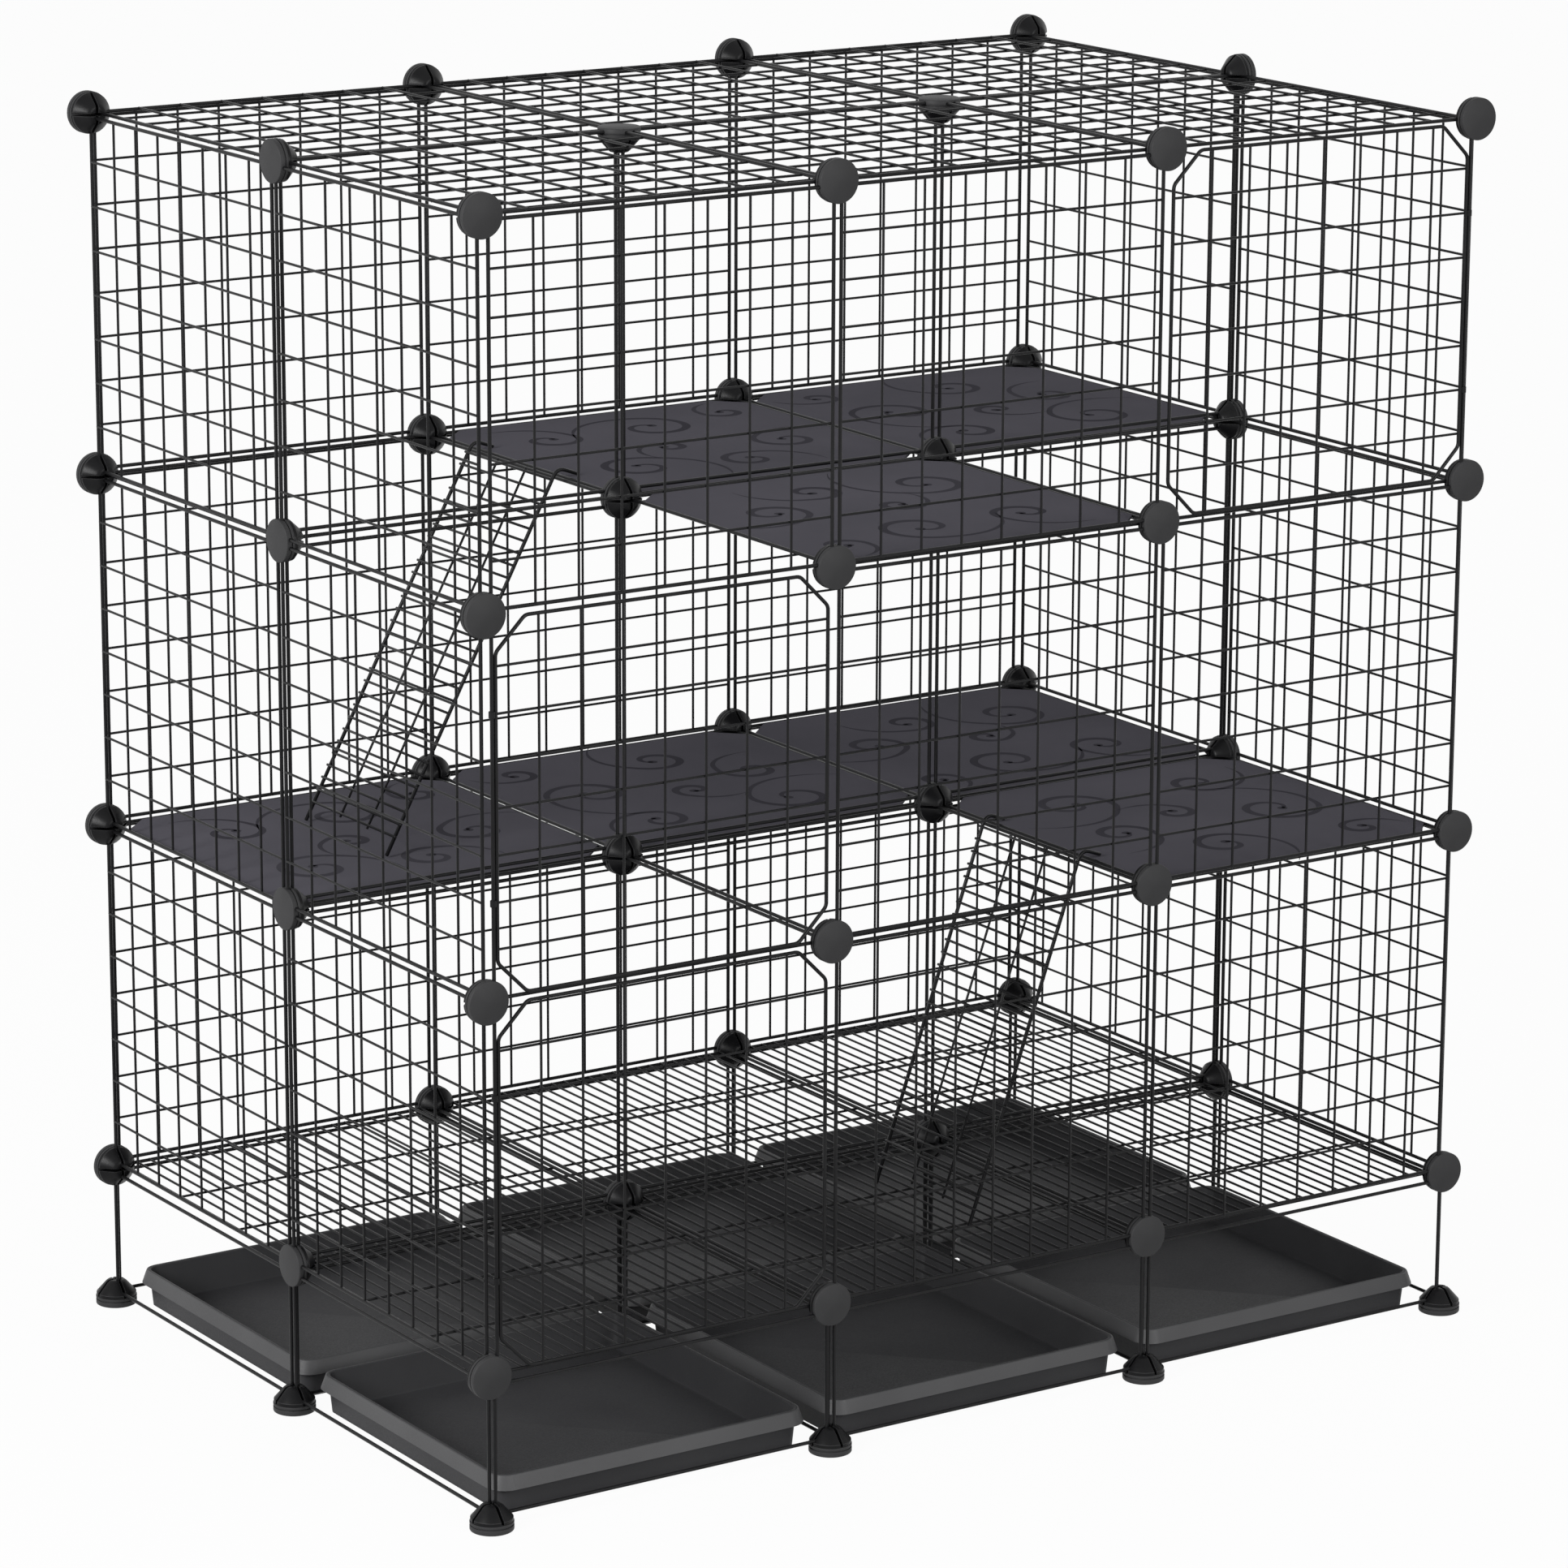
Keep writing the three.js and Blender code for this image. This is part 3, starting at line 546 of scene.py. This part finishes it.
# ---------------------------------------------------------------- walls, floor and roof
def add_panels():
    for tier, name in enumerate(TIER_NAMES):
        for column in range(COLUMNS):
            node = f"front_{name}_{column + 1}"
            if node in BODY_OF:
                panel(wires(node), (column, 0, tier), ACROSS, UP)
            panel(wires(f"back_{column + 1}"), (column, ROWS, tier), ACROSS, UP)
        panel(wires(f"left_front_{name}"), (0, 0, tier), DEEP, UP)
        panel(wires(f"right_front_{name}"), (COLUMNS, 0, tier), DEEP, UP)
        panel(wires("left_back"), (0, 1, tier), DEEP, UP)
        panel(wires(f"right_back_{name}"), (COLUMNS, 1, tier), DEEP, UP)
    for column in range(COLUMNS):
        roof = wires(f"roof_{column + 1}")
        for row, name in enumerate(("front", "back")):
            panel(roof, (column, row, TIERS), ACROSS, DEEP)
            floor = wires(f"floor_{name}_{column + 1}")
            panel(floor, (column, row, 0), ACROSS, DEEP, FLOOR_GAPS, FLOOR_RIB_GAPS)
        edge_wire(roof, (column, 1, TIERS), (column + 1, 1, TIERS))


# ---------------------------------------------------------------- doors
# Tier, column, hinge post, and the side panel that holds the rod.
DOORS = [(0, 0, 0, "left_front_bottom"), (1, 0, 0, "left_front_middle"), (2, 2, 3, "right_front_top")]


def add_door(tier, column, hinge_post, rod_node):
    post = (hinge_post, 0, tier)
    towards = 1 if hinge_post == column else -1
    rod = place(post) + X * edge_at(post, ACROSS, towards)
    wires(rod_node).tube([rod + Z * SEAT, rod + Z * (TIER - SEAT)], FRAME_WIRE)

    shape = wires(f"door_{TIER_NAMES[tier]}")
    wide, tall, cut = PITCH - 2 * LEAF_INSET, TIER - 2 * EDGE, LEAF_CHAMFER
    corner = Vector((seam(column, ACROSS) + LEAF_INSET, rod.y, rod.z + EDGE))
    outline = [(cut, 0), (wide - cut, 0), (wide, cut), (wide, tall - cut),
               (wide - cut, tall), (cut, tall), (0, tall - cut), (0, cut)]
    loop = [corner + X * x + Z * z for x, z in outline]
    shape.tube(rounded(loop, LEAF_BEND, closed=True), FRAME_WIRE, closed=True)
    grid(shape, corner, X, Z, wide, tall, GRID_GAPS, GRID_GAPS)
    inner = FRAME_WIRE / 2 + CLEAR
    outer, soft = inner + CURL_WALL, CURL_SOFT
    profile = [(inner, 0), (outer - soft, 0), (outer, soft), (outer, CURL_HIGH - soft),
               (outer - soft, CURL_HIGH), (inner, CURL_HIGH)]
    for side in (-1, 1):
        foot = rod + Z * ((TIER + side * CURL_SPACING - CURL_HIGH) / 2)
        shape.turn(profile, Matrix.Translation(foot), steps=CURL_TURNS)


# ---------------------------------------------------------------- shelves
# Scrolls on a sheet, as shares of its width: middle, outer radius, where it starts (degrees),
# turns (negative is clockwise), and how far its tail swings out.
SCROLLS = [
    (-0.26, -0.22, 0.175, 300, 1.45, 0.107),
    (0.06, 0.25, 0.185, 190, -1.4, 0.086),
    (0.30, -0.10, 0.140, 20, 1.35, 0.097),
    (-0.28, 0.24, 0.130, 120, -1.3, 0.075),
    (0.06, -0.28, 0.125, 330, 1.3, 0.086),
    (0.36, 0.33, 0.090, 80, 1.2, 0.048),
    (-0.05, -0.02, 0.090, 230, -1.25, 0.064),
]
SCROLL_STEPS = 70
SCROLL_WIND = 0.86  # how much of its radius a curl loses on its way in
SCROLL_EASE = 0.8  # below 1, it winds in faster at its start
SCROLL_TAIL = 0.2  # the tail's share of a curl
SCROLL_SWING = 1.5  # how fast the tail swings back in
SCROLL_SWELL = 1.3  # how late its line gets wider
SCROLL_POINT = 0.15  # its line's width where the tail starts, as a share
SCROLL_TAPER = 0.07  # over this share of a curl its line comes up from that point
SCROLL_WIDE = (3.4 * MM, 8.5 * MM)  # its line at its ends and in its middle
SCROLL_EYE = 5 * MM  # radius
EYE_SIDES = 28


def chamfered(half, cut, grow=0.0):
    inner = half - cut
    half += grow
    corners = [(half, -inner), (half, inner), (inner, half), (-inner, half),
               (-half, inner), (-half, -inner), (-inner, -half), (inner, -half)]
    return [Vector((x, y, 0)) for x, y in corners]


def scroll_path(reach, start, turns, tail):
    """A curl that winds in from its tail to its eye."""
    path = []
    for step in range(SCROLL_STEPS + 1):
        share = step / SCROLL_STEPS
        angle = start * DEGREE + turns * math.tau * share
        swing = tail * max(0, 1 - share / SCROLL_TAIL) ** SCROLL_SWING
        radius = reach * (1 - SCROLL_WIND * share ** SCROLL_EASE) + swing
        path.append(Vector((radius * math.cos(angle), radius * math.sin(angle), 0)))
    return path


def add_scroll(shape, matrix, reach, start, turns, tail):
    path = scroll_path(reach, start, turns, tail)
    low, high = SCROLL_WIDE
    left, right = [], []
    for n, point in enumerate(path):
        along = (path[min(n + 1, SCROLL_STEPS)] - path[max(n - 1, 0)]).normalized()
        share = n / SCROLL_STEPS
        half = (low + (high - low) * math.sin(math.pi * share) ** SCROLL_SWELL) / 2
        half *= min(1, SCROLL_POINT + share / SCROLL_TAPER)
        left.append(matrix @ (point + Z.cross(along) * half))
        right.append(matrix @ (point - Z.cross(along) * half))
    count = len(path)
    shape.add(left + right, [[n, n + 1, count + n + 1, count + n] for n in range(count - 1)], slot=1)
    eye = circle(path[-1], Z, X, SCROLL_EYE, EYE_SIDES)
    shape.add([matrix @ point for point in eye], [list(range(EYE_SIDES))], slot=1)


def add_shelf(node, turn):
    frame_shape = wires(node)
    level, row, column = node_bay(node)
    panel_frame(frame_shape, (column, row, level), ACROSS, DEEP)
    wide = PITCH - 2 * EDGE - FRAME_WIRE + 2 * SHEET_BITE
    thick = SHEET_THICK - 2 * PRINT_HIGH
    shape = Shape()
    centre = Matrix.Translation(bay_middle(column, row, seam(level, UP)))
    side = thick / 2 - SHEET_SOFT
    layers = [(-thick / 2, -SHEET_SOFT), (-side, 0), (side, 0), (thick / 2, -SHEET_SOFT)]
    rings = [[centre @ (point + Z * z) for point in chamfered(wide / 2, SHEET_CHAMFER, grow)]
             for z, grow in layers]
    shape.loft(rings)
    for face in (1, -1):
        lift = Z * (face * (thick / 2 + PRINT_HIGH))
        for x, y, reach, start, turns, tail in SCROLLS:
            spot = Matrix.Translation(Vector((x, y, 0)) * wide + lift)
            spin = Matrix.Rotation(turn * math.tau / 4, 4, "Z")
            add_scroll(shape, centre @ spin @ spot, reach * wide, start, turns, tail * wide)
    settle(shape.piece(f"{node}_sheet", [shelf_sheet, sheet_print]), node)


def node_bay(node):
    """The level, row and column of a shelf, from its name."""
    _, level, row, column = node.split("_")
    return LEVELS.index(level), ("front", "back").index(row), int(column) - 1


# ---------------------------------------------------------------- ramps
# Name, the post column that its rails hook over, and the level there.
RAMPS = [("ramp_upper", 1, 2), ("ramp_lower", 2, 1)]


def add_ramp(node, post_column, level):
    shape = wires(node)
    low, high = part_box(node)
    half, mid_y = RAIL_WIRE / 2, (low.y + high.y) / 2
    top = Vector((seam(post_column, ACROSS), 0, seam(level, UP)))
    bend = top + Vector((-HOOK_OUT, 0, HOOK_RISE - HOOK_DROP))
    tip = Vector((high.x - HOOK_TIP, 0, top.z + SHEET_THICK / 2 + CLEAR + half))
    foot = Vector((low.x + half, 0, low.z + half))
    lean = (foot - bend).normalized()
    out = Vector((-lean.z, 0, lean.x))
    if out.z < 0:
        out = -out
    rungs = math.floor((foot - bend).length / RUNG_PITCH) - 1
    for side in (-1, 1):
        y = Y * (mid_y + side * RAMP_WIDE / 2)
        shape.tube([point + y for point in rounded([tip, bend, foot], HOOK_BEND)], RAIL_WIRE, domed=True)
    layer = (RUNG_WIRE + GRID_WIRE) / 4
    for n in range(1, rungs + 1):
        spot = bend + lean * (n * RUNG_PITCH) + out * layer
        reach = RAMP_WIDE / 2 + RUNG_NUB
        shape.tube([spot + Y * (mid_y - reach), spot + Y * (mid_y + reach)], RUNG_WIRE, domed=True)
    for lane in range(1, RAMP_LANES):
        y = Y * (mid_y + RAMP_WIDE * (lane / RAMP_LANES - 0.5))
        ends = [bend + lean * (n * RUNG_PITCH) - out * layer + y
                for n in (1 - LANE_PAST, rungs + LANE_PAST)]
        shape.tube(ends, GRID_WIRE, domed=True)


# ---------------------------------------------------------------- trays
def square_ring(half, corner, height):
    ring = []
    for quarter in range(4):
        spin = Matrix.Rotation(quarter * math.tau / 4, 4, "Z")
        for step in range(TRAY_CORNER_STEPS + 1):
            angle = step / TRAY_CORNER_STEPS * math.pi / 2
            x = half - corner + corner * math.cos(angle)
            y = half - corner + corner * math.sin(angle)
            ring.append(spin @ Vector((x, y, height)))
    return ring


def add_tray(node):
    low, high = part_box(node)
    rim = (high.x - low.x) / 2
    wall_top, crest = rim - TRAY_LIP, rim - TRAY_LEAN
    base = wall_top - TRAY_DRAFT
    tall, under = high.z, high.z - TRAY_WALL
    mouth, inside = wall_top - TRAY_WALL, base - TRAY_WALL
    soft, fillet = TRAY_SOFT, TRAY_FILLET
    soft_share, fillet_share = soft * ROUND_SHARE, fillet * ROUND_SHARE
    sections = [
        *((base - inward, height) for inward, height in TRAY_HEEL),
        (wall_top, under), (crest - TRAY_WALL, under),
        (rim - TRAY_WALL, tall - TRAY_SKIRT), (rim, tall - TRAY_SKIRT), (crest, tall - soft),
        (crest - soft_share, tall - soft_share), (crest - soft, tall), (mouth + soft, tall),
        (mouth + soft_share, tall - soft_share), (mouth, tall - soft),
        (inside, TRAY_WALL + fillet), (inside - fillet_share, TRAY_WALL + fillet_share),
        (inside - fillet, TRAY_WALL),
    ]
    inset = rim - TRAY_CORNER
    shape = Shape()
    centre = Vector(((low.x + high.x) / 2, (low.y + high.y) / 2, 0))
    rings = [[point + centre for point in square_ring(half, max(half - inset, soft), height)]
             for half, height in sections]
    shape.loft(rings)
    # The skirt's spans take the second material, the lighter tray plastic: painted light on the skirt.
    first, last = (len(rings[0]) * span for span in TRAY_PAINTED_LIGHT_SPANS)
    shape.slots[first:last] = [1] * (last - first)
    settle(shape.piece(f"{node}_shell", [tray_plastic, tray_skirt_painted_light], sharp=35 * DEGREE), node)


# ---------------------------------------------------------------- the assembly
add_clips()
add_panels()
for i in range(COLUMNS + 1):
    for j in range(ROWS + 1):
        add_leg(i, j)
for level in range(1, TIERS):
    add_centre_frame(level)
for level_frame in LEVEL_FRAMES:
    add_level_frame(*level_frame)
for door in DOORS:
    add_door(*door)
for ramp in RAMPS:
    add_ramp(*ramp)
for number, shelf in enumerate(sorted(node for node in BODY_OF if node.startswith("shelf_"))):
    add_shelf(shelf, number)
for tray in sorted(node for node in BODY_OF if node.startswith("tray_")):
    add_tray(tray)
for node, shape in node_wires.items():
    settle(shape.piece(f"{node}_wires", [coated_wire]), node)

# ---------------------------------------------------------------- stage, light and camera
FLOOR_HALF = 40
FLOOR_DROP = 0.2 * MM  # below what stands on it
FLOOR_WHITE = (0.6, 0.6, 0.6, 1)
FLOOR_GLOW = 0.96  # how much of the floor's white the camera sees without its shadows
WHITE = (1, 1, 1, 1)


def seen_directly(tree):
    """1 for what the camera sees, in gloss and through clear things too."""
    rays = tree.nodes.new("ShaderNodeLightPath")
    total = rays.outputs["Is Camera Ray"]
    for ray in ("Is Glossy Ray", "Is Transmission Ray"):
        both = tree.nodes.new("ShaderNodeMath")
        both.use_clamp = True
        tree.links.new(total, both.inputs[0])
        tree.links.new(rays.outputs[ray], both.inputs[1])
        total = both.outputs[0]
    return total


def add_stage():
    shape = Shape()
    corners = [(-FLOOR_HALF, -FLOOR_HALF), (FLOOR_HALF, -FLOOR_HALF), (FLOOR_HALF, FLOOR_HALF),
               (-FLOOR_HALF, FLOOR_HALF)]
    shape.add([Vector((x, y, -FLOOR_DROP)) for x, y in corners], [[0, 1, 2, 3]])
    material, tree, shader = nodes_of("studio_floor")
    shader.inputs["Base Color"].default_value = FLOOR_WHITE
    shader.inputs["Roughness"].default_value = 0.9
    shader.inputs["Specular IOR Level"].default_value = 0.1
    glow = tree.nodes.new("ShaderNodeEmission")
    share = tree.nodes.new("ShaderNodeMath")
    share.operation = "MULTIPLY"
    share.inputs[1].default_value = FLOOR_GLOW
    mix = tree.nodes.new("ShaderNodeMixShader")
    tree.links.new(seen_directly(tree), share.inputs[0])
    tree.links.new(share.outputs[0], mix.inputs["Fac"])
    tree.links.new(shader.outputs["BSDF"], mix.inputs[1])
    tree.links.new(glow.outputs["Emission"], mix.inputs[2])
    tree.links.new(mix.outputs["Shader"], tree.nodes["Material Output"].inputs["Surface"])
    shape.piece("studio_floor", [material])


def add_world(fill):
    world = bpy.data.worlds.new("studio")
    bpy.context.scene.world = world
    world.use_nodes = True
    tree = world.node_tree
    lighting = tree.nodes["Background"]
    lighting.inputs["Color"].default_value = WHITE
    lighting.inputs["Strength"].default_value = fill
    backdrop = tree.nodes.new("ShaderNodeBackground")
    backdrop.inputs["Color"].default_value = WHITE
    mix = tree.nodes.new("ShaderNodeMixShader")
    tree.links.new(seen_directly(tree), mix.inputs["Fac"])
    tree.links.new(lighting.outputs["Background"], mix.inputs[1])
    tree.links.new(backdrop.outputs["Background"], mix.inputs[2])
    tree.links.new(mix.outputs["Shader"], tree.nodes["World Output"].inputs["Surface"])


def add_lamp(name, place_at, target, size, power):
    lamp = bpy.data.lights.new(name, "AREA")
    lamp.shape = "DISK"
    lamp.size = size
    lamp.energy = power
    holder_object = add_object(name, lamp)
    aim = Vector(target) - Vector(place_at)
    holder_object.location = place_at
    holder_object.rotation_euler = aim.to_track_quat("-Z", "Y").to_euler()


def add_camera():
    """The photograph's view, from the lattice's connectors in it."""
    spot = Vector((-3.109, -4.7185, 1.981))
    heading, pitch, roll, focal, image = 0.5834, -0.2515, 0.0041, 7484.2, 1932
    ahead = Vector((math.sin(heading) * math.cos(pitch), math.cos(heading) * math.cos(pitch),
                    math.sin(pitch)))
    right = ahead.cross(Z).normalized()
    up = right.cross(ahead)
    right, up = (right * math.cos(roll) + up * math.sin(roll), up * math.cos(roll) - right * math.sin(roll))
    camera = bpy.data.cameras.new("camera")
    camera.sensor_width = 36
    camera.lens = focal / image * camera.sensor_width
    camera.clip_end = 200
    stand = add_object("camera", camera)
    turn = Matrix((right, up, -ahead)).transposed().to_4x4()
    stand.matrix_world = Matrix.Translation(spot) @ turn
    bpy.context.scene.camera = stand


add_stage()
add_world(0.5)
add_lamp("key_lamp", (-4.4, -1.0, 2.2), (0, 0, 0.5), 1.8, 190)
add_lamp("front_lamp", (0.6, -4.8, 1.9), (0, 0, 0.5), 2.2, 90)
add_camera()
bpy.context.scene.view_settings.view_transform = "Standard"
